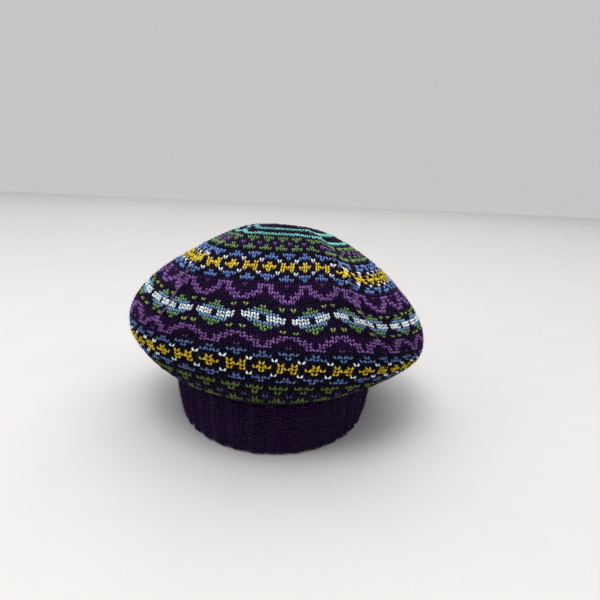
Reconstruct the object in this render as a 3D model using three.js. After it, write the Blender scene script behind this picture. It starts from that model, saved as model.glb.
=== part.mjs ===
// A knitted tam o' shanter: a ribbed band that rests on its rim, and a hollow crown of five wedge
// sectors that flares out over the band and closes at a soft, slightly tipped top.
// Millimetres, +Z up. The back of the hat faces -Y and its rim lies in the plane z = 0.

import * as THREE from "three";

// ---- driving dimensions ------------------------------------------------------------------------

const BAND_HALF_WIDTH = 82; // outside of the band's top edge, ear to ear
const BAND_HALF_LENGTH = 97; // outside of the band's top edge, forehead to nape
const BAND_DEPTH = 40.5;
const BAND_WALL = 3.4;
const BAND_TAPER = 5.5; // how much closer to the head the rim is than the top edge
const BAND_BULGE = 0.9; // how far the ribs belly out halfway up
const EDGE_ROUND = 0.7; // rounding of the band's four edges

const CROWN_WALL = 2.8; // one layer of stranded knitting with its floats
const JOIN_GAP = 0.3; // between the band's top edge and the crown's first round
const SECTORS = 5;
const CROWN_TURN = -5.6; // degrees from the back of the hat to the middle of the nearest sector
const TIP_FORWARD = -5.8; // degrees that the crown is tipped away from the back
const TIP_SIDEWAYS = 4.2; // degrees that it is tipped to its right, seen from the back

const SIDE_SAG = 3.5; // how much lower the loose cloth hangs at the ears than at the back and front
const SAG_ENDS = 0.42; // share of the section over which it hangs so
const FREE_FROM_BAND = 0.24; // share of the section over which the crown leaves the band's oval

// Half section of the crown's outside, from the band to the closed top. rise is the height over the
// join. corner is how much farther out the line between two sectors is than the middle of a sector:
// the crown's five soft edges.
const CROWN_SECTION = [
  { ring: "join", radius: 89.5, rise: 0, corner: 0 },
  { ring: "turn outwards", radius: 91.5, rise: 2.6, corner: 0 },
  { ring: "underside", radius: 107.0, rise: 8.5, corner: 0 },
  { ring: "lower yellow", radius: 118.4, rise: 20.5, corner: 0 },
  { ring: "widest", radius: 120.8, rise: 33.0, corner: 1.0 },
  { ring: "lower wave", radius: 118.2, rise: 44.2, corner: 2.5 },
  { ring: "eyes", radius: 110.5, rise: 55.7, corner: 4.5 },
  { ring: "upper wave", radius: 96.5, rise: 69.7, corner: 7.0 },
  { ring: "upper yellow", radius: 78.5, rise: 83.2, corner: 8.0 },
  { ring: "upper green", radius: 56.5, rise: 96.2, corner: 7.0 },
  { ring: "outer teal", radius: 42.0, rise: 103.2, corner: 5.0 },
  { ring: "inner teal", radius: 30.5, rise: 107.3, corner: 3.0 },
  { ring: "wheel", radius: 15.0, rise: 110.3, corner: 1.0 },
  { ring: "top", radius: 0.0, rise: 111.1, corner: 0 },
];

const MEAN_CORNER = 1 / 3; // mean of cornerShare round the hat, so that corners keep the mean radius

const AROUND = 60; // facets round the hat, a whole number to each sector
const CROWN_ROUNDS = 26; // rounds of facets from the join to the top
const BAND_ROUNDS = 6; // rounds of facets up each face of the band
const NEAR_SHARE = 0.004; // how close on the section two points are that give a slope
const NEAR_STEP = 0.2; // the same round the hat, in facets

// ---- shared outlines ---------------------------------------------------------------------------

const radians = THREE.MathUtils.degToRad;

// Direction round the hat, from the back (-Y) towards +X.
function direction(step) {
  const angle = radians(CROWN_TURN) + (2 * Math.PI * step) / AROUND;
  return { angle, x: Math.sin(angle), y: -Math.cos(angle) };
}

// Distance from the axis to the band's oval in one direction.
function ovalRadius({ x, y }, halfWidth, halfLength) {
  return 1 / Math.hypot(x / halfWidth, y / halfLength);
}

// 0 in the middle of a sector and 1 on the line between two, as on a polygon's side.
function cornerShare({ angle }) {
  const sector = (2 * Math.PI) / SECTORS;
  const turned = angle - radians(CROWN_TURN);
  const fromMiddle = turned - sector * Math.round(turned / sector);
  return (1 / Math.cos(fromMiddle) - 1) / (1 / Math.cos(sector / 2) - 1);
}

// ---- mesh from a grid of points ----------------------------------------------------------------

// rings: loops of AROUND points. A ring of one point is a pole. Each ring is joined to the next, and
// the last to the first when closed is true.
function meshFromRings(rings, closed) {
  const positions = [];
  const starts = rings.map((ring) => {
    const start = positions.length / 3;
    ring.forEach((p) => positions.push(p.x, p.y, p.z));
    return start;
  });
  const vertex = (r, step) => starts[r] + (rings[r].length === 1 ? 0 : step % AROUND);
  const faces = [];
  const bands = closed ? rings.length : rings.length - 1;
  for (let r = 0; r < bands; r++) {
    const next = (r + 1) % rings.length;
    if (rings[r].length === 1 && rings[next].length === 1) continue;
    for (let step = 0; step < AROUND; step++) {
      const [a, b] = [vertex(r, step), vertex(r, step + 1)];
      const [c, d] = [vertex(next, step + 1), vertex(next, step)];
      if (a !== b) faces.push(a, b, c);
      if (c !== d) faces.push(a, c, d);
    }
  }
  const geometry = new THREE.BufferGeometry();
  geometry.setAttribute("position", new THREE.Float32BufferAttribute(positions, 3));
  geometry.setIndex(faces);
  geometry.computeVertexNormals();
  return geometry;
}

// ---- ribbed band -------------------------------------------------------------------------------

// One point of the band's wall: inset is its distance inside the outer face.
function bandPoint(step, height, inset) {
  const way = direction(step);
  const share = height / BAND_DEPTH;
  const swell = BAND_BULGE * Math.sin(Math.PI * share) - BAND_TAPER * (1 - share);
  const radius = ovalRadius(way, BAND_HALF_WIDTH, BAND_HALF_LENGTH) + swell - inset;
  return new THREE.Vector3(radius * way.x, radius * way.y, height);
}

function ribbedBand() {
  const section = [];
  section.push({ height: 0, inset: BAND_WALL - EDGE_ROUND });
  section.push({ height: 0, inset: EDGE_ROUND });
  for (let i = 0; i <= BAND_ROUNDS; i++) {
    const height = EDGE_ROUND + ((BAND_DEPTH - 2 * EDGE_ROUND) * i) / BAND_ROUNDS;
    section.push({ height, inset: 0 });
  }
  section.push({ height: BAND_DEPTH, inset: EDGE_ROUND });
  section.push({ height: BAND_DEPTH, inset: BAND_WALL - EDGE_ROUND });
  for (let i = BAND_ROUNDS; i >= 0; i--) {
    const height = EDGE_ROUND + ((BAND_DEPTH - 2 * EDGE_ROUND) * i) / BAND_ROUNDS;
    section.push({ height, inset: BAND_WALL });
  }
  const rings = section.map(({ height, inset }) =>
    Array.from({ length: AROUND }, (_, step) => bandPoint(step, height, inset)),
  );
  return meshFromRings(rings, true);
}

// ---- crown -------------------------------------------------------------------------------------

const sectionCurve = new THREE.SplineCurve(
  CROWN_SECTION.map(({ radius, rise }) => new THREE.Vector2(radius, rise)),
);
const cornerCurve = new THREE.SplineCurve(
  CROWN_SECTION.map(({ corner }, i) => new THREE.Vector2(i, corner)),
);

const crownTip = new THREE.Matrix4().makeRotationFromEuler(
  new THREE.Euler(radians(TIP_FORWARD), radians(TIP_SIDEWAYS), 0),
);

// A point of the crown's outside: share runs from 0 at the join to 1 at the top, evenly along the
// section. Heights are counted from the join until the crown has been tipped about it.
function crownPoint(share, way) {
  const along = sectionCurve.getUtoTmapping(share);
  const { x: radius, y: rise } = sectionCurve.getPoint(along);
  const corner = cornerCurve.getPoint(along).y * (cornerShare(way) - MEAN_CORNER);
  const free = THREE.MathUtils.smoothstep(share, 0, FREE_FROM_BAND);
  const oval = ovalRadius(way, BAND_HALF_WIDTH, BAND_HALF_LENGTH) - CROWN_SECTION[0].radius;
  const reach = radius + corner + (1 - free) * oval;
  const loose = Math.sin(Math.PI * Math.min(share / SAG_ENDS, 1)) ** 2;
  const sag = SIDE_SAG * loose * (way.x * way.x - way.y * way.y);
  const upright = new THREE.Vector3(reach * way.x, reach * way.y, rise - sag);
  const tipped = upright.clone().applyMatrix4(crownTip);
  return upright.lerp(tipped, free).add(new THREE.Vector3(0, 0, BAND_DEPTH + JOIN_GAP));
}

// The same point moved inwards through the wall, square to the surface, whose slopes come from two
// near points each way.
function crownInside(share, step) {
  const way = direction(step);
  const upper = crownPoint(Math.min(share + NEAR_SHARE, 1), way);
  const lower = crownPoint(Math.max(share - NEAR_SHARE, 0), way);
  const right = crownPoint(share, direction(step + NEAR_STEP));
  const left = crownPoint(share, direction(step - NEAR_STEP));
  const outward = right.sub(left).cross(upper.sub(lower)).normalize();
  return crownPoint(share, way).addScaledVector(outward, -CROWN_WALL);
}

function crown() {
  const shares = Array.from({ length: CROWN_ROUNDS }, (_, i) => i / CROWN_ROUNDS);
  const loop = (place) => Array.from({ length: AROUND }, (_, step) => place(step));
  const outside = shares.map((share) => loop((step) => crownPoint(share, direction(step))));
  const inside = shares.map((share) => loop((step) => crownInside(share, step)));
  inside[0].forEach((p) => (p.z = BAND_DEPTH + JOIN_GAP));
  const top = crownPoint(1, direction(0));
  const underTop = top.clone().sub(new THREE.Vector3(0, 0, CROWN_WALL));
  return meshFromRings([...outside, [top], [underTop], ...inside.reverse()], true);
}

// ---- assembly ----------------------------------------------------------------------------------

function piece(name, geometry, colour) {
  const material = new THREE.MeshStandardMaterial({ color: colour, roughness: 0.95, metalness: 0 });
  const mesh = new THREE.Mesh(geometry, material);
  mesh.name = name;
  return mesh;
}

const tam = new THREE.Group();
tam.add(piece("ribbed_band", ribbedBand(), 0x221338));
tam.add(piece("crown", crown(), 0x2a1a4a));

// The tipped crown reaches farther one way than the other: the middle of the outline goes over the
// origin.
const middle = new THREE.Box3().setFromObject(tam, true).getCenter(new THREE.Vector3());
tam.children.forEach((mesh) => mesh.geometry.translate(-middle.x, -middle.y, 0));

export default tam;
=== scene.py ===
"""A knitted tam o' shanter: a ribbed wool band and a stranded crown of five sectors.

The crown is knitted from the band up, in rounds. Each stitch is two legs of yarn that lean apart
from a shared foot, and each round's feet come out of the tops of the round below. All lengths in
the tables are millimetres; Blender's meshes are metres.
"""

import math
from collections import namedtuple

import bpy
import numpy as np
from mathutils import Matrix, Vector


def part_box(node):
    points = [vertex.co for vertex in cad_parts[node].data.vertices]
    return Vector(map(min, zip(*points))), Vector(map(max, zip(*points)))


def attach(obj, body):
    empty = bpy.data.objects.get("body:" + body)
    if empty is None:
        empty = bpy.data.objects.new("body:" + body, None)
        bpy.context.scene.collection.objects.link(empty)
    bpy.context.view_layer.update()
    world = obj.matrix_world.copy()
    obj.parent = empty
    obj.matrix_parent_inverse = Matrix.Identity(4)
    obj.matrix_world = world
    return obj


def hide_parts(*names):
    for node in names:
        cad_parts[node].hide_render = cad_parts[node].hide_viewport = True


bl_info = {
    "name": "Knitted tam o' shanter",
    "version": (1, 0, 0),
    "blender": (4, 5, 0),
    "location": "3D Viewport > Sidebar > Tam",
    "description": "Builds a stranded wool tam stitch by stitch, with its ribbed band and haze",
    "category": "Object",
}

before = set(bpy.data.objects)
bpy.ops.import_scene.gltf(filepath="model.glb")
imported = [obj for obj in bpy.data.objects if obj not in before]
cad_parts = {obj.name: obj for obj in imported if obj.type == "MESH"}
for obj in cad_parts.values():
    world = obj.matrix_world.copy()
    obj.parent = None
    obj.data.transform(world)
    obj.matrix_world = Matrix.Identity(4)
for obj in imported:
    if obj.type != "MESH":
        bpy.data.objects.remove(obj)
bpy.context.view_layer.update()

MM = 0.001
BODY = "root"
SEED = 20
MOST_TRIANGLES = 200_000  # the most that one piece may have

# ---- how the crown is shaped -------------------------------------------------------------------

SECTORS = 5
SECTOR = 2 * math.pi / SECTORS
CROWN_TURN = math.radians(-5.6)  # the corners of the crown, about its axis
TIP_FORWARD = math.radians(-5.8)
TIP_SIDEWAYS = math.radians(4.2)
SIDE_SAG = 3.5  # how far the sides hang, where the section's share is half of SAG_ENDS
SAG_ENDS = 0.42
FREE_FROM_BAND = 0.24  # the share of the section from which nothing of the band's oval is left
MEAN_CORNER = 1 / 3
JOIN_GAP = 0.3  # between the band and the crown
CROWN_WALL = 2.8

Ring = namedtuple("Ring", "name radius rise corner")
CROWN_SECTION = (
    Ring("join", 89.5, 0, 0),
    Ring("turn outwards", 91.5, 2.6, 0),
    Ring("underside", 107.0, 8.5, 0),
    Ring("lower yellow", 118.4, 20.5, 0),
    Ring("widest", 120.8, 33.0, 1.0),
    Ring("lower wave", 118.2, 44.2, 2.5),
    Ring("eyes", 110.5, 55.7, 4.5),
    Ring("upper wave", 96.5, 69.7, 7.0),
    Ring("upper yellow", 78.5, 83.2, 8.0),
    Ring("upper green", 56.5, 96.2, 7.0),
    Ring("outer teal", 42.0, 103.2, 5.0),
    Ring("inner teal", 30.5, 107.3, 3.0),
    Ring("wheel", 15.0, 110.3, 1.0),
    Ring("top", 0.0, 111.1, 0),
)

# ---- how the crown is knitted ------------------------------------------------------------------

# Where the middle of a round lies on the section, in millimetres from the join.
Course = namedtuple("Course", "round along")
COURSES = (
    Course(-0.5, 0),
    Course(3, 10.8),
    Course(5, 19.0),
    Course(7, 25.6),
    Course(9, 29.9),
    Course(11, 33.5),
    Course(13, 37.7),
    Course(16, 43.8),
    Course(19, 49.6),
    Course(23, 57.0),
    Course(25, 61.0),
    Course(32, 78.1),
    Course(34, 83.8),
    Course(38, 95.8),
    Course(40, 101.7),
    Course(44, 114.0),
    Course(48, 129.0),
    Course(50, 136.6),
    Course(52, 144.2),
    Course(54, 152.0),
    Course(56, 159.6),
    Course(59, 171.5),
    Course(68, 202.3),
)

# Stitches in one sector from each round on, the fold's own column among them.
Count = namedtuple("Count", "round stitches")
COUNTS = (
    Count(0, 40),
    Count(35, 38),
    Count(38, 36),
    Count(41, 34),
    Count(43, 32),
    Count(46, 30),
    Count(48, 28),
    Count(51, 26),
    Count(53, 24),
    Count(55, 22),
    Count(57, 20),
    Count(58, 18),
    Count(59, 16),
    Count(60, 14),
    Count(61, 12),
    Count(62, 10),
    Count(63, 8),
    Count(64, 6),
    Count(65, 4),
    Count(66, 2),
)
LAST_ROUND = 66
FOLD_REACH = 1.3  # stitches to either side of a fold that it raises

# How the tipped crown pulls the knitting to either side of the back: right and left are how many
# millimetres farther up the crown a round lies there; right_out and left_out are how many degrees
# farther round it the columns lie; pucker is the rise, in millimetres, over the right shoulder.
Pull = namedtuple("Pull", "round right left right_out left_out pucker")
PULLS = (
    Pull(14, 0, 0, 5, 6, 0),
    Pull(19, 0, 4, 2.5, 4, 1),
    Pull(23, 0, 8, 0, 1, 2.5),
    Pull(28, -3.5, 8, -3, -2, 6.5),
    Pull(36, -8, 7, -3.5, -2, 3.7),
    Pull(44, -11, 4, -1, 0, 3.5),
    Pull(52, -12, 4, 0, 1, 1.5),
    Pull(57, -13, 2, 2, 2, 0),
    Pull(66, 0, 0, 0, 0, 0),
)

# Charts, top round first. Eight columns from three left of a motif's middle to four right of it.
SNOW = ("g..G..g.", "..GGG...", ".LLLLL..", "WWW.WWW.")
EYE_CHART = SNOW + tuple(reversed(SNOW))
STAR = ("B..B..BB", "..BBB..B", ".W...W..", "Y..Y..Y.")
STAR_CHART = STAR + ("Y.YYY.YY",) + tuple(reversed(STAR))
# The lower stars use slate and gold. These are deeper blue and yellow yarns, darkened further as painted
# shade of the lower crown.
LOW_STAR_CHART = tuple(row.replace("B", "b").replace("Y", "y") for row in STAR_CHART)
WAVE_CHART = ("..PPP..d", "..P.P...", ".PP.PP..", "PP...PP.", "P.....PP")
UPPER_GREEN_CHART = ("GGG.GGG.", ".G...G..", "...p...p", ".G...G..", "GGG.GGG.")
LOWER_GREEN_CHART = (".OOO.OOO", "..O...O.", "d...d...", "..O...O.", ".OOO.OOO")
PLAIN = ("........",)
TEAL = ("TTTTTTTT",)
CHART_LEFT = 3

# One band of the pattern: its piece, the round it starts at, its chart, and the letter of each
# chart row's ground. Each chart ends, at the top, with a plain round.
Band = namedtuple("Band", "name first chart ground")
BANDS = (
    Band("underside", 0, PLAIN * 3, "nnn"),
    Band("lower_green", 3, PLAIN + LOWER_GREEN_CHART, "nnnnnn"),
    Band("lower_star", 9, PLAIN + LOW_STAR_CHART, "xxnnnnnnnn"),
    Band("lower_wave", 19, PLAIN + tuple(reversed(WAVE_CHART)), "xuuuux"),
    Band("eye", 25, PLAIN + EYE_CHART, "xxxxxxxxx"),
    Band("upper_wave", 34, PLAIN + WAVE_CHART, "uuuuux"),
    Band("upper_star", 40, PLAIN + STAR_CHART, "nnnxxxxxnn"),
    Band("upper_green", 50, PLAIN + UPPER_GREEN_CHART, "xxuuux"),
    Band("outer_teal", 56, PLAIN * 2 + TEAL, "xxn"),
    Band("wheel", 59, PLAIN * 7 + TEAL, "xxxxxxxn"),
)

# How the floats behind the eyes draw their rounds up and down: degrees from the middle of the near
# sector, and millimetres up the crown.
Wave = namedtuple("Wave", "angle rise")
EYE_WAVES = (
    Wave(-32, 0),
    Wave(-24, 1.5),
    Wave(-12.5, -0.8),
    Wave(-7.5, 2.2),
    Wave(4.5, -1.2),
    Wave(9.5, -2.0),
    Wave(16, -0.8),
    Wave(24, 0),
)
PUCKER_MIDDLE = 27  # degrees
PUCKER_REACH = 8
LEFT_SLACK = 8  # degrees that the columns beyond the left fold are let back


def spline(points, share):
    """A uniform Catmull-Rom spline through points, its ends doubled, at shares from 0 to 1."""
    points = np.asarray(points, float)
    last = len(points) - 1
    place = last * np.asarray(share, float)
    i = np.minimum(place.astype(int), last)
    w = (place - i)[..., None]
    p0, p1 = points[np.maximum(i - 1, 0)], points[i]
    p2, p3 = points[np.minimum(i + 1, last)], points[np.minimum(i + 2, last)]
    v0, v1 = (p2 - p0) / 2, (p3 - p1) / 2
    return (2 * p1 - 2 * p2 + v0 + v1) * w**3 + (-3 * p1 + 3 * p2 - 2 * v0 - v1) * w**2 + v0 * w + p1


SECTION_POINTS = [(ring.radius, ring.rise, ring.corner) for ring in CROWN_SECTION]
SHARES = np.linspace(0, 1, 2001)
SECTION_LENGTHS = np.concatenate(
    ([0], np.cumsum(np.hypot(*np.diff(spline(SECTION_POINTS, SHARES)[:, :2], axis=0).T)))
)
SECTION_LENGTH = SECTION_LENGTHS[-1]


def smooth(value, low, high):
    """0 up to low, 1 from high, and a smooth rise between."""
    t = np.clip((value - low) / (high - low), 0, 1)
    return t * t * (3 - 2 * t)


def oval_radius(angle, half_width, half_length):
    """How far an oval's edge lies from its middle, at an angle from the back."""
    return 1 / np.hypot(np.sin(angle) / half_width, np.cos(angle) / half_length)


def corner_share(angle):
    """0 in the middle of a sector and 1 on the line between two, as on a polygon's side."""
    turned = angle - CROWN_TURN
    off = turned - SECTOR * np.round(turned / SECTOR)
    return (1 / np.cos(off) - 1) / (1 / math.cos(SECTOR / 2) - 1)


def turned(axis, angle):
    """The matrix that turns a point about one axis."""
    return np.array(Matrix.Rotation(angle, 3, axis))


def crown_surface(along, angle):
    """The crown's outside, along millimetres from the join, angle from the back towards +X."""
    band = bpy.context.scene.tam_band
    share = np.clip(along / SECTION_LENGTH, 0, 1)
    ring = spline(SECTION_POINTS, np.interp(share * SECTION_LENGTH, SECTION_LENGTHS, SHARES))
    radius, rise, corner = np.moveaxis(ring, -1, 0)
    way_x, way_y = np.sin(angle), -np.cos(angle)
    free = smooth(share, 0, FREE_FROM_BAND)
    half_width, half_length = band.half_width / MM, band.half_length / MM
    oval = oval_radius(angle, half_width, half_length) - CROWN_SECTION[0].radius
    reach = radius + corner * (corner_share(angle) - MEAN_CORNER) + (1 - free) * oval
    loose = np.sin(np.pi * np.minimum(share / SAG_ENDS, 1)) ** 2
    sag = SIDE_SAG * loose * (way_x**2 - way_y**2)
    upright = np.stack([reach * way_x, reach * way_y, rise - sag], -1)
    tipped = upright @ (turned("X", TIP_FORWARD) @ turned("Y", TIP_SIDEWAYS)).T
    point = upright + (tipped - upright) * free[..., None]
    point[..., 2] += band.depth / MM + JOIN_GAP
    return point


def middle_of_band():
    """The point on the floor under the middle of the band, in metres."""
    low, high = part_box("ribbed_band")
    return np.array([(low.x + high.x) / 2, (low.y + high.y) / 2, 0])


def lifted(surface, along, angle, lift):
    """Points lift millimetres off a surface given as surface(along, angle), in metres in place."""
    near_along, near_angle = 0.4, 0.004  # millimetres and radians to the points beside
    up = surface(along + near_along, angle) - surface(along - near_along, angle)
    right = surface(along, angle + near_angle) - surface(along, angle - near_angle)
    out = np.cross(right, up)
    out /= np.maximum(np.linalg.norm(out, axis=-1, keepdims=True), 1e-9)
    return (surface(along, angle) + out * np.asarray(lift)[..., None]) * MM + middle_of_band()


def along_at(round_):
    """Millimetres up the section to the middle of a round."""
    return np.interp(round_, [c.round for c in COURSES], [c.along for c in COURSES])


def count_at(round_):
    """Stitches in a sector, falling evenly between the rounds that decrease."""
    return np.interp(round_, [c.round for c in COUNTS], [c.stitches for c in COUNTS])


def stitches_in(round_):
    """Whole stitches in one sector of a round."""
    return [c.stitches for c in COUNTS if c.round <= round_][-1]


def pulled(round_, angle):
    """How far a round is pulled up the crown at an angle, and how far the column there is pulled
    round it."""
    rounds = [p.round for p in PULLS]
    turn = np.degrees((angle + np.pi) % (2 * np.pi) - np.pi)
    fade = 1 - smooth(np.abs(turn), 95, 175)
    up = np.interp(round_, rounds, [p.right for p in PULLS]) * smooth(turn, 22, 52)
    up = up + np.interp(round_, rounds, [p.left for p in PULLS]) * smooth(-turn, 27, 60)
    pucker = np.exp(-(((turn - PUCKER_MIDDLE) / PUCKER_REACH) ** 2))
    up = up + np.interp(round_, rounds, [p.pucker for p in PULLS]) * pucker
    eyes = smooth(round_, 22, 27) * (1 - smooth(round_, 31, 36))
    up = up + eyes * np.interp(turn, [w.angle for w in EYE_WAVES], [w.rise for w in EYE_WAVES])
    out = np.interp(round_, rounds, [p.right_out for p in PULLS]) * smooth(turn, 4, 36)
    out = out - np.interp(round_, rounds, [p.left_out for p in PULLS]) * smooth(-turn, 4, 36)
    slack = LEFT_SLACK * smooth(round_, 17, 23) * (1 - smooth(round_, 38, 44))
    out = out - slack * smooth(-turn, 40, 56)
    return up * fade, np.radians(out * fade)


def crown_points(round_, column, sector, lift):
    """Points of the knitted crown. column counts stitches from the middle of a sector."""
    crown = bpy.context.scene.tam_crown
    share = column / (count_at(round_) / 2)
    inside = np.where(np.abs(share) > 1, np.sign(share) * 2 - share, share)
    gather = crown.gather * smooth(round_, 19, 27) * (1 - smooth(round_, 33, 44))
    even = (inside - gather * inside**5 / 5) / (1 - gather / 5)
    even = np.where(np.abs(share) > 1, np.sign(share) * 2 - even, even)
    whole = SECTOR * (sector + even / 2)
    up, out = pulled(round_, whole)
    angle = crown.turn + whole + out
    # The knitted centre lies a little to one side of the crown's own top.
    along = along_at(round_) + up
    drift = crown.centre_drift / MM * smooth(round_, 10, 44)
    left = SECTION_LENGTH - along
    x, y = left * np.sin(angle) - drift, left * np.cos(angle)
    fold = crown.fold_height / MM * smooth(round_, 14, 34) * (1 - smooth(round_, 58, 66))
    off_fold = (1 - np.abs(np.clip(even, -1, 1))) * count_at(round_) / 2
    lift = lift + fold * np.exp(-((off_fold / FOLD_REACH) ** 2))
    return lifted(crown_surface, SECTION_LENGTH - np.hypot(x, y), np.arctan2(x, y), lift)


def band_points(height, angle, inset):
    """Points of the ribbed band; inset is the distance inside the outer face."""
    band = bpy.context.scene.tam_band
    share = np.clip(height / (band.depth / MM), 0, 1)
    swell = band.belly / MM * np.sin(np.pi * share) - band.taper / MM * (1 - share)
    radius = oval_radius(angle, band.half_width / MM, band.half_length / MM) + swell - inset
    height = np.broadcast_to(height, np.shape(radius))
    point = np.stack([radius * np.sin(angle), -radius * np.cos(angle), height], -1)
    return point * MM + middle_of_band()


# ---- one strand, modelled once -----------------------------------------------------------------


def start_clean():
    """Leave edit mode and clear the selection."""
    if bpy.context.object and bpy.context.object.mode != "OBJECT":
        bpy.ops.object.mode_set(mode="OBJECT")
    bpy.ops.object.select_all(action="DESELECT")


Strand = namedtuple("Strand", "along turn girth faces")


STRAND_SHOULDER = 0.72  # the strand's radius where its points begin
STRAND_BODY = 1.1  # the length between its points
STRAND_POINT = 0.45


def strand(sides, girth_mid):
    """A short closed strand with pointed ends, made along Z from -1 to 1, read back as numbers."""
    start_clean()
    bpy.ops.mesh.primitive_cylinder_add(
        vertices=sides, radius=STRAND_SHOULDER, depth=STRAND_BODY, end_fill_type="TRIFAN"
    )
    shape = bpy.context.object
    bpy.ops.object.mode_set(mode="EDIT")
    bpy.ops.mesh.select_all(action="SELECT")
    bpy.ops.mesh.bisect(plane_co=(0, 0, 0), plane_no=(0, 0, 1))
    bpy.ops.mesh.select_all(action="DESELECT")
    bpy.ops.object.mode_set(mode="OBJECT")
    for v in shape.data.vertices:
        v.select = abs(v.co.z) < 0.01
    bpy.ops.object.mode_set(mode="EDIT")
    bpy.ops.mesh.select_mode(type="VERT")
    wider = girth_mid / STRAND_SHOULDER
    bpy.ops.transform.resize(value=(wider, wider, 1))
    for end in (-1, 1):
        bpy.ops.mesh.select_all(action="DESELECT")
        bpy.ops.object.mode_set(mode="OBJECT")
        for v in shape.data.vertices:
            v.select = v.co.xy.length < 0.01 and v.co.z * end > 0.5
        bpy.ops.object.mode_set(mode="EDIT")
        bpy.ops.transform.translate(value=(0, 0, end * STRAND_POINT))
    bpy.ops.object.mode_set(mode="OBJECT")
    co = np.array([v.co for v in shape.data.vertices])
    faces = [tuple(p.vertices) for p in shape.data.polygons]
    bpy.data.objects.remove(shape, do_unlink=True)
    return Strand(co[:, 2], np.arctan2(co[:, 1], co[:, 0]), np.hypot(co[:, 0], co[:, 1]), faces)


def joined_strands(name, made, places, tints, grid_map=True):
    """One mesh of many copies of a strand. places is copies x corners x 3, tints copies x 3.

    grid_map adds a UV map that gives each copy a cell of its own in a square grid.
    """
    copies, corners = places.shape[:2]
    first = np.arange(copies)[:, None] * corners
    order = np.concatenate([np.array(f) for f in made.faces])
    sizes = np.array([len(f) for f in made.faces])
    starts = np.concatenate(([0], np.cumsum(sizes)[:-1]))
    mesh = bpy.data.meshes.new(name)
    mesh.vertices.add(copies * corners)
    mesh.vertices.foreach_set("co", places.astype(np.float32).ravel())
    mesh.loops.add(copies * len(order))
    mesh.loops.foreach_set("vertex_index", (first + order).astype(np.int32).ravel())
    mesh.polygons.add(copies * len(sizes))
    loop_starts = np.arange(copies)[:, None] * len(order) + starts
    mesh.polygons.foreach_set("loop_start", loop_starts.astype(np.int32).ravel())
    mesh.update(calc_edges=True)
    mesh.polygons.foreach_set("use_smooth", np.ones(copies * len(sizes), bool))
    # u runs along the strand and v once round it.
    u = (made.along[order] + 1) / 2
    v = (made.turn[order] / (2 * math.pi)) % 1
    tip = made.girth[order] < 0.01
    for start, size in zip(starts, sizes):
        own = slice(start, start + size)
        body = ~tip[own]
        if np.ptp(v[own][body]) > 0.5:
            v[own] = np.where(v[own] < 0.5, v[own] + 1, v[own])
        v[own] = np.where(tip[own], v[own][body].mean(), v[own])
    ply = mesh.uv_layers.new(name="Ply")
    along_and_round = np.tile(np.stack([u, v], -1), (copies, 1))
    ply.data.foreach_set("uv", along_and_round.astype(np.float32).ravel())
    if grid_map:
        cells = math.ceil(math.sqrt(copies))
        cell = np.stack(np.divmod(np.arange(copies), cells), -1)[:, None, :]
        inside = np.stack([0.08 + 0.84 * u, 0.04 + 0.76 * v], -1)[None]
        baked = mesh.uv_layers.new(name="OFBake")
        baked.data.foreach_set("uv", ((cell + inside) / cells).astype(np.float32).ravel())
    shade = mesh.color_attributes.new("yarn", "FLOAT_COLOR", "POINT")
    rgba = np.ones((copies, corners, 4), np.float32)
    rgba[..., :3] = tints[:, None, :]
    shade.data.foreach_set("color", rgba.ravel())
    piece = bpy.data.objects.new(name, mesh)
    bpy.context.scene.collection.objects.link(piece)
    return piece


def legs(made, path, thick_across, thick_out, side):
    """A strand laid along a stitch's leg: offsets in columns, in rounds, and in millimetres out.

    path holds the bends along the leg; side is -1 for the left leg.
    """
    share = (made.along + 1) / 2
    column, round_, out = (np.interp(share, np.linspace(0, 1, len(path)), p) for p in zip(*path))
    across = -made.girth * np.cos(made.turn)
    return (
        side * column + across * thick_across,
        round_ - across * side * 0.1,
        out + made.girth * np.sin(made.turn) * thick_out,
    )


# ---- materials ---------------------------------------------------------------------------------


class Nodes:
    """A few short calls to build a material's nodes."""

    def __init__(self, name):
        self.material = bpy.data.materials.new(name)
        self.material.use_nodes = True
        self.tree = self.material.node_tree
        self.shader = self.tree.nodes["Principled BSDF"]

    def add(self, kind, **settings):
        node = self.tree.nodes.new(kind)
        for key, value in settings.items():
            if hasattr(node, key):
                setattr(node, key, value)
            else:
                node.inputs[key.replace("_", " ")].default_value = value
        return node

    def link(self, out, into):
        self.tree.links.new(out, into)

    def math(self, operation, a, b):
        node = self.add("ShaderNodeMath", operation=operation)
        for socket, value in zip(node.inputs, (a, b)):
            if isinstance(value, (int, float)):
                socket.default_value = value
            else:
                self.link(value, socket)
        return node.outputs[0]

    def noise(self, coordinates, scale, detail):
        node = self.add("ShaderNodeTexNoise", Scale=scale, Detail=detail, Roughness=0.6)
        self.link(coordinates, node.inputs["Vector"])
        return node.outputs["Fac"]


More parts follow.
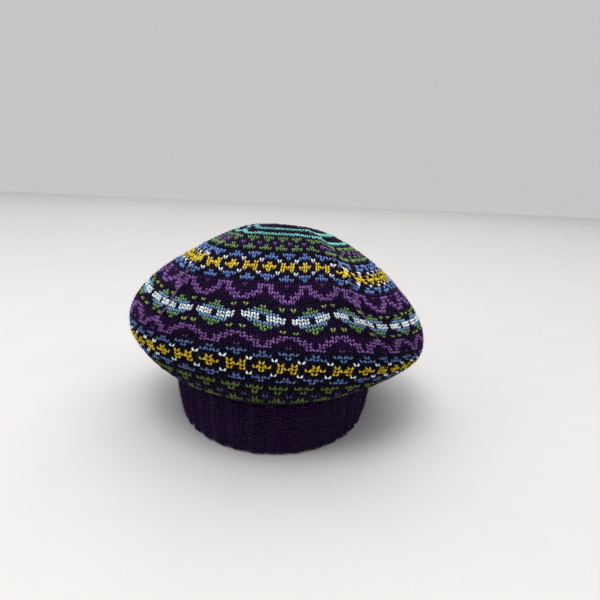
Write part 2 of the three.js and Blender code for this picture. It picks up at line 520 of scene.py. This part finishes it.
def wool(name, colour, heather, ply_height, sheen, sheen_tint=(1, 1, 1)):
    """Heathered wool yarn: colour from the yarn attribute or one colour, flecked and plied."""
    nodes = Nodes(name)
    shader = nodes.shader
    place = nodes.add("ShaderNodeTexCoord").outputs["Object"]
    fleck = nodes.noise(place, 620, 3)
    cloud = nodes.noise(place, 55, 2)
    tone = nodes.add("ShaderNodeMapRange", From_Min=0.25, From_Max=0.75)
    tone.inputs["To Min"].default_value = 1 - heather
    tone.inputs["To Max"].default_value = 1 + heather
    fine, broad = nodes.math("MULTIPLY", fleck, 0.65), nodes.math("MULTIPLY", cloud, 0.35)
    nodes.link(nodes.math("ADD", fine, broad), tone.inputs["Value"])
    scale = nodes.add("ShaderNodeVectorMath", operation="SCALE")
    if colour is None:
        yarn = nodes.add("ShaderNodeVertexColor", layer_name="yarn").outputs["Color"]
        nodes.link(yarn, scale.inputs[0])
    else:
        scale.inputs[0].default_value = colour
    nodes.link(tone.outputs["Result"], scale.inputs["Scale"])
    nodes.link(scale.outputs["Vector"], shader.inputs["Base Color"])
    shader.inputs["Roughness"].default_value = 0.92
    shader.inputs["Specular IOR Level"].default_value = 0.07
    shader.inputs["Sheen Weight"].default_value = sheen
    shader.inputs["Sheen Roughness"].default_value = 0.45
    shader.inputs["Sheen Tint"].default_value = (*sheen_tint, 1)
    bump = nodes.add("ShaderNodeBump", Distance=0.0004)
    bump.inputs["Strength"].default_value = 0.7
    relief = nodes.noise(place, 900, 2)
    if ply_height:
        uv = nodes.add("ShaderNodeUVMap", uv_map="Ply").outputs["UV"]
        parts = nodes.add("ShaderNodeSeparateXYZ")
        nodes.link(uv, parts.inputs[0])
        turns = nodes.math("ADD", nodes.math("MULTIPLY", parts.outputs["X"], 2.5),
                           nodes.math("MULTIPLY", parts.outputs["Y"], 2))
        ply = nodes.math("SINE", nodes.math("MULTIPLY", turns, 2 * math.pi), 0)
        relief = nodes.math("ADD", nodes.math("MULTIPLY", ply, ply_height), relief)
    nodes.link(relief, bump.inputs["Height"])
    nodes.link(bump.outputs["Normal"], shader.inputs["Normal"])
    return nodes.material


def plain_stage(name, colour):
    """Matt floor paint with a very faint unevenness."""
    nodes = Nodes(name)
    place = nodes.add("ShaderNodeTexCoord").outputs["Object"]
    tone = nodes.add("ShaderNodeMapRange", From_Min=0.3, From_Max=0.7)
    tone.inputs["To Min"].default_value = 0.97
    tone.inputs["To Max"].default_value = 1.0
    nodes.link(nodes.noise(place, 12, 4), tone.inputs["Value"])
    scale = nodes.add("ShaderNodeVectorMath", operation="SCALE")
    scale.inputs[0].default_value = colour
    nodes.link(tone.outputs["Result"], scale.inputs["Scale"])
    nodes.link(scale.outputs["Vector"], nodes.shader.inputs["Base Color"])
    nodes.shader.inputs["Roughness"].default_value = 0.9
    return nodes.material


def finish_piece(piece, node, material):
    """Give a piece its material and body, hide the model's part that it replaces, or stop if it came out
    wrong.
    """
    triangles = sum(face.loop_total - 2 for face in piece.data.polygons)
    if not 0 < triangles <= MOST_TRIANGLES:
        raise RuntimeError(f"{piece.name} has {triangles} triangles")
    piece.data.materials.append(material)
    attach(piece, BODY)
    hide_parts(node)
    return piece


# ---- settings ----------------------------------------------------------------------------------


def length(name, description, default):
    return bpy.props.FloatProperty(
        name=name, description=description, default=default * MM, min=0, unit="LENGTH",
        subtype="DISTANCE", precision=5,
    )


def dye(name, description, default):
    return bpy.props.FloatVectorProperty(
        name=name, description=description, default=default, size=3, min=0, max=1, subtype="COLOR"
    )


class TamCrown(bpy.types.PropertyGroup):
    stitch_thickness: length("Leg thickness", "Half the thickness of a stitch's leg off the cloth", 0.72)
    stitch_sink: length("Stitch depth", "How far the legs' middles lie under the outline", 0.5)
    colour_stand: length("Colour height", "How much farther out a coloured stitch stands", 0.2)
    fold_height: length("Fold height", "Height of the soft fold between two sectors", 1.3)
    centre_drift: length("Centre drift", "How far the knitted centre lies to the left", 6.5)
    gather: bpy.props.FloatProperty(
        name="Gather", description="How much the columns close up beside a fold", default=0.5,
        min=0, max=0.9, subtype="FACTOR",
    )
    turn: bpy.props.FloatProperty(
        name="Turn", description="From the back of the hat to the middle of the nearest sector",
        default=math.radians(-4.7), unit="ROTATION",
    )


class TamBand(bpy.types.PropertyGroup):
    half_width: length("Half width", "Outside of the band's top edge, ear to ear, halved", 82)
    half_length: length("Half length", "Outside of the band's top edge, front to back, halved", 97)
    depth: length("Depth", "Height of the ribbed band", 40.5)
    taper: length("Taper", "How much closer to the head the rim is than the top edge", 5.5)
    belly: length("Belly", "How far the ribs belly out halfway up", 0.9)
    wall: length("Wall", "Thickness of the ribbing", 3.4)
    rib_relief: length("Rib relief", "Depth of the purl ditches between the ribs", 0.5)
    ribs: bpy.props.IntProperty(name="Ribs", description="Pairs of knit columns", default=40, min=8)
    rounds: bpy.props.IntProperty(name="Rounds", description="Rounds of ribbing", default=16, min=4)


class TamYarns(bpy.types.PropertyGroup):
    night: dye("Night", "Near-black navy ground", (0.0032, 0.0026, 0.0105))
    aubergine: dye("Aubergine", "Dark violet ground", (0.0095, 0.0040, 0.0260))
    plum: dye("Plum", "Violet ground round the waves", (0.0200, 0.0042, 0.0430))
    violet: dye("Violet", "Purple of the waves", (0.240, 0.110, 0.360))
    orchid: dye("Orchid", "Small purple dots", (0.225, 0.105, 0.350))
    dusk: dye("Dusk", "Dim purple dots", (0.100, 0.045, 0.150))
    white: dye("White", "Snow white", (0.82, 0.93, 0.98))
    blue: dye("Blue", "Cornflower blue", (0.150, 0.260, 0.580))
    deeper_slate_with_painted_shade: dye("Slate", "Deeper blue of the lower stars", (0.105, 0.175, 0.370))
    # Slate is a deeper blue. It is also darker as painted shade of the lower crown, which gets less
    # light from above.
    lake: dye("Lake", "Steel blue round the eyes", (0.165, 0.330, 0.540))
    green: dye("Green", "Leaf green", (0.175, 0.310, 0.115))
    moss: dye("Moss", "Pale mossy dots", (0.290, 0.370, 0.105))
    olive: dye("Olive", "Olive green", (0.105, 0.160, 0.036))
    yellow: dye("Yellow", "Golden yellow", (0.780, 0.590, 0.050))
    # Gold is a deeper yellow. It is also darker as painted shade of the lower crown, which gets less
    # light from above.
    deeper_gold_with_painted_shade: dye("Gold", "Deeper yellow of the lower stars", (0.620, 0.440, 0.028))
    teal: dye("Teal", "Sea green", (0.240, 0.680, 0.590))
    # Pale lavender: the colour of the few pale stray hairs, and a painted highlight on the folds' own
    # stitches, where the fold ridges catch the light.
    pale_hair_and_fold_highlight: dye("Pale hair and fold highlight", "Lavender fluff along the folds", (0.330, 0.270, 0.430))
    band: dye("Band", "Dark purple of the ribbing", (0.0048, 0.0018, 0.0115))


class TamStage(bpy.types.PropertyGroup):
    floor: dye("Floor", "Plain pale floor", (0.76, 0.75, 0.735))
    eye: bpy.props.FloatVectorProperty(
        name="Eye", description="Place of the camera", default=(-0.0022, -0.3805, 0.1846), size=3,
        unit="LENGTH", subtype="TRANSLATION",
    )
    pitch: bpy.props.FloatProperty(
        name="Pitch", description="How far the camera looks down", default=math.radians(14.1),
        unit="ROTATION",
    )
    yaw: bpy.props.FloatProperty(
        name="Yaw", description="How far it looks to the right", default=math.radians(2.9),
        unit="ROTATION",
    )
    roll: bpy.props.FloatProperty(
        name="Roll", description="How far it leans", default=math.radians(2.7), unit="ROTATION"
    )
    lens: bpy.props.FloatProperty(
        name="Lens", description="Focal length", default=27.6, min=1, unit="CAMERA"
    )


LETTERS = {  # of the charts, and the yarns that they stand for
    "n": "night", "x": "aubergine", "u": "plum", "P": "violet", "p": "orchid", "d": "dusk",
    "W": "white", "B": "blue", "L": "lake", "b": "deeper_slate_with_painted_shade", "G": "green", "g": "moss",
    "O": "olive", "Y": "yellow", "y": "deeper_gold_with_painted_shade", "T": "teal",
}
PATTERN_LETTERS = "PpWBbLGgOYyT"


def dye_of(letter):
    return np.array(getattr(bpy.context.scene.tam_yarns, LETTERS[letter]))


# ---- pieces ------------------------------------------------------------------------------------

# A leg of a stitch from its foot to its head: in columns from the stitch's middle, in rounds, and
# in millimetres out.
Bend = namedtuple("Bend", "column round out")
LEG_PATH = (
    Bend(0.09, -0.58, -0.95),
    Bend(0.16, -0.25, -0.15),
    Bend(0.25, 0.06, 0.35),
    Bend(0.35, 0.40, 0.25),
    Bend(0.41, 0.74, -0.70),
)
# The long narrow leg of a stitch on a fold, where two stitches are knitted together.
FOLD_PATH = (
    Bend(0.02, -0.85, -0.50),
    Bend(0.07, -0.35, 0.25),
    Bend(0.14, 0.15, 0.50),
    Bend(0.21, 0.65, 0.30),
    Bend(0.26, 1.15, -0.50),
)
LEG_ACROSS = 0.17  # half a leg's width, in columns
FOLDS_FROM = 20  # the round above which the folds' own stitches show
FOLD_HIGHLIGHT = (0.05, 0.4)  # how much of the painted fold highlight a fold's stitch may take
BRIGHT_HIGHLIGHT = 0.4  # the part of that which a coloured stitch takes

RibColumn = namedtuple("RibColumn", "centre width")  # in even columns, four to a rib
RIB_COLUMNS = (  # two plump knit columns, then two purl columns drawn in behind them
    RibColumn(0.62, 1.24),
    RibColumn(1.86, 1.24),
    RibColumn(2.86, 0.76),
    RibColumn(3.62, 0.76),
)


HAIR_RADIUS = 90  # millimetres from the hat's axis to a hair, about
PALE_HAIRS = 0.03  # the share of hairs that are worn pale


def yarn_letter(band, round_, column):
    """The chart's letter for one stitch, or the ground's."""
    row = len(band.chart) - 1 - (round_ - band.first)
    letter = band.chart[row][(column + CHART_LEFT) % 8]
    return band.ground[row] if letter == "." else letter


def crown_stitches(band, made, rng):
    """All stitches of one band of the pattern as one joined mesh."""
    crown = bpy.context.scene.tam_crown
    rows = []
    for round_ in range(band.first, band.first + len(band.chart)):
        if round_ > LAST_ROUND:
            continue
        half = stitches_in(round_) // 2
        for sector in range(SECTORS):
            for column in range(-half + 1, half + 1):
                letter = yarn_letter(band, round_, column)
                rows.append((round_, column, sector, column == half, letter))
    round_ = np.array([r[0] for r in rows], float)
    column = np.array([r[1] for r in rows], float)
    sector = np.array([r[2] for r in rows], float)
    fold = np.array([r[3] and r[0] > FOLDS_FROM for r in rows])
    bright = np.array([r[4] in PATTERN_LETTERS for r in rows])
    tint = np.array([dye_of(r[4]) for r in rows])
    pale_hair_and_fold_highlight = np.array(bpy.context.scene.tam_yarns.pale_hair_and_fold_highlight)
    # Painted highlight: a fold's own stitches take a share of the pale lavender, where the fold's ridge
    # catches the light.
    takes = fold * np.where(bright, BRIGHT_HIGHLIGHT, 1)
    highlight = rng.uniform(*FOLD_HIGHLIGHT, (len(rows), 1)) * takes[:, None]
    tint = tint * (1 - highlight) + pale_hair_and_fold_highlight * highlight
    wobble = rng.normal(0, 1, (len(rows), 4))
    places, tints = [], []
    for side in (-1, 1):
        parts = []
        for path in (LEG_PATH, FOLD_PATH):
            parts.append(legs(made, path, LEG_ACROSS, crown.stitch_thickness / MM, side))
        c, r, out = (np.where(fold[:, None], parts[1][k], parts[0][k]) for k in range(3))
        swell = 1 + 0.06 * wobble[:, 3:4] + 0.08 * bright[:, None]
        c = column[:, None] + c * swell + 0.035 * wobble[:, 0:1]
        r = round_[:, None] + r * (1 + 0.04 * wobble[:, 2:3]) + 0.06 * wobble[:, 1:2]
        stand = crown.colour_stand / MM * bright[:, None] - crown.stitch_sink / MM
        out = out + stand + 0.10 * wobble[:, 2:3]
        places.append(crown_points(r, c, np.broadcast_to(sector[:, None], c.shape), out))
        shade = 1 + 0.10 * rng.normal(0, 1, (len(rows), 1))
        tints.append(np.clip(tint * shade, 0, 1))
    return joined_strands(
        "crown_" + band.name, made, np.concatenate(places), np.concatenate(tints)
    )


def shell(name, outer, inner, around, rings, closed_top):
    """A closed wall from two surfaces, each given as surface(ring share, angles)."""
    angles = np.linspace(0, 2 * math.pi, around, endpoint=False)
    loops = [outer(t, angles) for t in np.linspace(0, 1, rings)]
    loops += [inner(t, angles) for t in np.linspace(1, 0, rings)]
    if closed_top:
        loops[rings - 1][:] = loops[rings - 1].mean(0)
        loops[rings][:] = loops[rings].mean(0)
    points = np.concatenate(loops)
    faces = []
    for ring in range(len(loops)):
        after = (ring + 1) % len(loops)
        if closed_top and ring == rings - 1:
            continue
        for step in range(around):
            right = (step + 1) % around
            faces.append((ring * around + step, ring * around + right,
                          after * around + right, after * around + step))
    mesh = bpy.data.meshes.new(name)
    mesh.from_pydata(points.tolist(), [], faces)
    piece = bpy.data.objects.new(name, mesh)
    bpy.context.scene.collection.objects.link(piece)
    start_clean()
    bpy.context.view_layer.objects.active = piece
    piece.select_set(True)
    bpy.ops.object.mode_set(mode="EDIT")
    bpy.ops.mesh.select_all(action="SELECT")
    bpy.ops.mesh.remove_doubles(threshold=0.00002)
    bpy.ops.mesh.normals_make_consistent(inside=False)
    bpy.ops.object.mode_set(mode="OBJECT")
    bpy.ops.object.shade_smooth()
    return piece


class TAM_OT_crown_cloth(bpy.types.Operator):
    """Lay the inner side of the crown: the backs of the stitches and their floats"""

    bl_idname = "tam.crown_cloth"
    bl_label = "Crown cloth"

    def execute(self, context):
        def at(lift):
            def surface(share, angles):
                along = np.full(len(angles), share * SECTION_LENGTH)
                return lifted(crown_surface, along, angles, np.full(len(angles), lift))
            return surface

        cloth = shell("crown_cloth", at(-1.5), at(-CROWN_WALL + 0.1), 120, 48, True)
        material = wool("Crown cloth wool", tuple(dye_of("x") * 0.8), 0.5, 0, 0.1)
        finish_piece(cloth, "crown", material)
        return {"FINISHED"}


class TAM_OT_crown_stitches(bpy.types.Operator):
    """Knit the crown's stitches, one joined mesh for each band of the pattern"""

    bl_idname = "tam.crown_stitches"
    bl_label = "Crown stitches"

    def execute(self, context):
        rng = np.random.default_rng(SEED)
        made = strand(5, 1.0)
        material = wool("Shetland yarn", None, 0.35, 0.5, 0.06, (0.75, 0.6, 1))
        for band in BANDS:
            piece = crown_stitches(band, made, rng)
            finish_piece(piece, "crown", material)
        return {"FINISHED"}


class TAM_OT_band_cloth(bpy.types.Operator):
    """Lay the corrugated wall that backs the ribs"""

    bl_idname = "tam.band_cloth"
    bl_label = "Band cloth"

    def execute(self, context):
        band = context.scene.tam_band
        deep = band.depth / MM

        def height(share):
            return 0.9 + share * (deep - 1.2)

        def outer(share, angles):
            rib = np.cos(angles * band.ribs)
            return band_points(height(share), angles, 1.35 - 0.5 * rib)

        def inner(share, angles):
            return band_points(height(share), angles, np.full(len(angles), band.wall / MM))

        cloth = shell("band_cloth", outer, inner, band.ribs * 8, 14, False)
        tint = tuple(np.array(context.scene.tam_yarns.band) * 0.8)
        finish_piece(cloth, "ribbed_band", wool("Band cloth wool", tint, 0.5, 0, 0.1))
        return {"FINISHED"}


class TAM_OT_band_ribs(bpy.types.Operator):
    """Knit the ribs: pairs of knit columns with two purl columns between them"""

    bl_idname = "tam.band_ribs"
    bl_label = "Band ribs"

    def execute(self, context):
        band = context.scene.tam_band
        rng = np.random.default_rng(SEED + 1)
        made = strand(5, 1.0)
        pitch = 2 * math.pi / (band.ribs * 4)
        step = (band.depth / MM - 1.2) / band.rounds
        relief = band.rib_relief / MM
        round_, rib, which = (
            a.ravel().astype(float)
            for a in np.meshgrid(np.arange(band.rounds), np.arange(band.ribs), np.arange(4))
        )
        knit = which < 2
        centre = np.array([c.centre for c in RIB_COLUMNS])[which.astype(int)]
        width = np.array([c.width for c in RIB_COLUMNS])[which.astype(int)]
        wobble = rng.normal(0, 1, (len(round_), 3))
        tint = np.array(context.scene.tam_yarns.band)
        places, tints = [], []

        def add(keep, column, height, out):
            column = centre[keep][:, None] + column * width[keep][:, None]
            angle = (rib[keep][:, None] * 4 + column) * pitch
            foot = np.where(which[keep] < 2, 0.6, 1.3)[:, None]
            low = np.maximum(foot + (round_[keep][:, None] + 0.5 + height) * step, 0.25)
            places.append(band_points(low, angle, -out))
            shade = 1 + 0.22 * rng.normal(0, 1, (keep.sum(), 1))
            tints.append(np.clip(tint * shade, 0, 1))

        for side in (-1, 1):
            column, height, out = legs(made, LEG_PATH, LEG_ACROSS, 0.8, side)
            jitter = wobble[knit]
            add(knit, column + 0.06 * jitter[:, 0:1], height + 0.09 * jitter[:, 1:2],
                out - 0.45 + 0.15 * jitter[:, 2:3])
        purl = ~knit
        across = made.girth * np.cos(made.turn)
        bow = 0.22 * (1 - made.along**2)
        jitter = wobble[purl]
        lean = 0.14 * jitter[:, 0:1] * made.along
        add(purl, made.along * 0.56 + 0.07 * jitter[:, 2:3],
            bow + lean + across * (0.27 + 0.05 * jitter[:, 2:3]) + 0.11 * jitter[:, 1:2],
            made.girth * np.sin(made.turn) * 0.6 - relief - 0.55 + 0.18 * jitter[:, 0:1])
        piece = joined_strands("band_ribs", made, np.concatenate(places), np.concatenate(tints))
        material = wool("Band yarn", None, 0.45, 0.5, 0.5, (0.42, 0.14, 0.75))
        finish_piece(piece, "ribbed_band", material)
        return {"FINISHED"}


class TAM_OT_haze(bpy.types.Operator):
    """Raise the fine hairs that stand off the wool"""

    bl_idname = "tam.haze"
    bl_label = "Wool haze"

    def execute(self, context):
        rng = np.random.default_rng(SEED + 2)
        made = strand(3, 0.9)
        material = wool("Loose fibre", None, 0.2, 0, 0.3)
        plum = np.array(context.scene.tam_yarns.plum)
        pale_hair_and_fold_highlight = np.array(context.scene.tam_yarns.pale_hair_and_fold_highlight)

        def hairs(name, count, surface, low, high, ground, spread):
            """Hairs from low to high up a surface; spread is how far they stray from upright."""
            share = (made.along + 1) / 2
            start = rng.uniform(low, high, count)[:, None]
            angle = rng.uniform(0, 2 * math.pi, count)[:, None]
            run = rng.uniform(2.0, 6.0, count)[:, None]
            way = (math.pi / 2 + spread * rng.uniform(-math.pi, math.pi, count))[:, None]
            curl = rng.normal(0, 0.5, count)[:, None]
            rise = rng.uniform(0.5, 2.4, count)[:, None]
            thick = rng.uniform(0.03, 0.05, count)[:, None]
            girth = made.girth * thick
            along = start + run * share * np.sin(way + curl * share) + girth * np.cos(made.turn)
            turn = angle + run * share * np.cos(way + curl * share) / HAIR_RADIUS
            out = 0.5 + rise * share**1.5 + girth * np.sin(made.turn)
            pale = rng.uniform(0, 1, (count, 1)) < PALE_HAIRS
            tints = np.where(pale, pale_hair_and_fold_highlight, ground * rng.uniform(0.7, 1.5, (count, 1)))
            return joined_strands(name, made, surface(along, turn, out), tints, grid_map=False)

        def crown_place(along, turn, out):
            return lifted(crown_surface, along, turn, out)

        def band_place(height, turn, out):
            return band_points(np.maximum(height, 0.3), turn, -out * 0.9)

        piece = hairs("crown_haze", 3800, crown_place, 4, 175, plum * 2 + 0.05, 1)
        finish_piece(piece, "crown", material)
        piece = hairs("band_haze", 4300, band_place, 1, 35, plum * 1.1 + 0.002, 0.35)
        finish_piece(piece, "ribbed_band", material)
        return {"FINISHED"}


class TAM_OT_stage(bpy.types.Operator):
    """Set the pale floor, the soft lights and the camera"""

    bl_idname = "tam.stage"
    bl_label = "Stage"

    def execute(self, context):
        stage = context.scene.tam_stage
        start_clean()
        bpy.ops.mesh.primitive_plane_add(size=8, location=(0, 0, 0))
        floor = context.object
        floor.name = "floor"
        floor.data.materials.append(plain_stage("Floor paint", tuple(stage.floor)))
        world = bpy.data.worlds.new("Studio")
        world.use_nodes = True
        world.node_tree.nodes["Background"].inputs["Color"].default_value = (0.97, 0.97, 1, 1)
        world.node_tree.nodes["Background"].inputs["Strength"].default_value = 0.58
        context.scene.world = world
        context.scene.view_settings.view_transform = "Standard"
        Light = namedtuple("Light", "name place size power tint")
        lights = (
            Light("ceiling", (0, 0.6, 3.2), 4.5, 62, (1, 0.98, 0.95)),
            Light("overhead", (-0.2, -0.5, 1.3), 0.6, 5.6, (1, 0.98, 0.96)),
            Light("left_window", (-1.2, -0.6, 0.8), 0.7, 2.5, (0.95, 0.97, 1)),
        )
        for light in lights:
            data = bpy.data.lights.new(light.name, "AREA")
            data.size = light.size
            data.energy = light.power
            data.color = light.tint
            lamp = bpy.data.objects.new(light.name, data)
            lamp.location = light.place
            aim = Vector((0, 0, 0.08)) - Vector(light.place)
            lamp.rotation_euler = aim.to_track_quat("-Z", "Y").to_euler()
            context.scene.collection.objects.link(lamp)
        camera = bpy.data.objects.new("camera", bpy.data.cameras.new("camera"))
        context.scene.collection.objects.link(camera)
        context.scene.camera = camera
        camera.data.lens = stage.lens
        camera.data.clip_start = 0.01
        forward = Vector((math.sin(stage.yaw) * math.cos(stage.pitch),
                          math.cos(stage.yaw) * math.cos(stage.pitch), -math.sin(stage.pitch)))
        level = Vector((math.cos(stage.yaw), -math.sin(stage.yaw), 0))
        upright = level.cross(forward)
        x = math.cos(stage.roll) * level + math.sin(stage.roll) * upright
        y = -math.sin(stage.roll) * level + math.cos(stage.roll) * upright
        axes = Matrix((x, y, -forward)).transposed()
        camera.matrix_world = Matrix.Translation(stage.eye) @ axes.to_4x4()
        return {"FINISHED"}


class TAM_PT_panel(bpy.types.Panel):
    """The tam's operators and settings"""

    bl_idname = "TAM_PT_panel"
    bl_label = "Tam o' shanter"
    bl_space_type = "VIEW_3D"
    bl_region_type = "UI"
    bl_category = "Tam"

    def draw(self, context):
        for operator in OPERATORS:
            self.layout.operator(operator.bl_idname)
        for name in GROUPS:
            settings = getattr(context.scene, name)
            box = self.layout.box()
            for prop in settings.__annotations__:
                box.prop(settings, prop)


OPERATORS = (
    TAM_OT_stage,
    TAM_OT_crown_cloth,
    TAM_OT_crown_stitches,
    TAM_OT_band_cloth,
    TAM_OT_band_ribs,
    TAM_OT_haze,
)
GROUPS = {
    "tam_crown": TamCrown,
    "tam_band": TamBand,
    "tam_yarns": TamYarns,
    "tam_stage": TamStage,
}


def register():
    for group in GROUPS.values():
        bpy.utils.register_class(group)
    for name, group in GROUPS.items():
        setattr(bpy.types.Scene, name, bpy.props.PointerProperty(type=group))
    for operator in OPERATORS:
        bpy.utils.register_class(operator)
    bpy.utils.register_class(TAM_PT_panel)


def unregister():
    bpy.utils.unregister_class(TAM_PT_panel)
    for operator in reversed(OPERATORS):
        bpy.utils.unregister_class(operator)
    for name, group in GROUPS.items():
        delattr(bpy.types.Scene, name)
        bpy.utils.unregister_class(group)


def main():
    register()
    bpy.ops.tam.stage()
    bpy.ops.tam.crown_cloth()
    bpy.ops.tam.crown_stitches()
    bpy.ops.tam.band_cloth()
    bpy.ops.tam.band_ribs()
    bpy.ops.tam.haze()


if __name__ == "__main__":
    main()
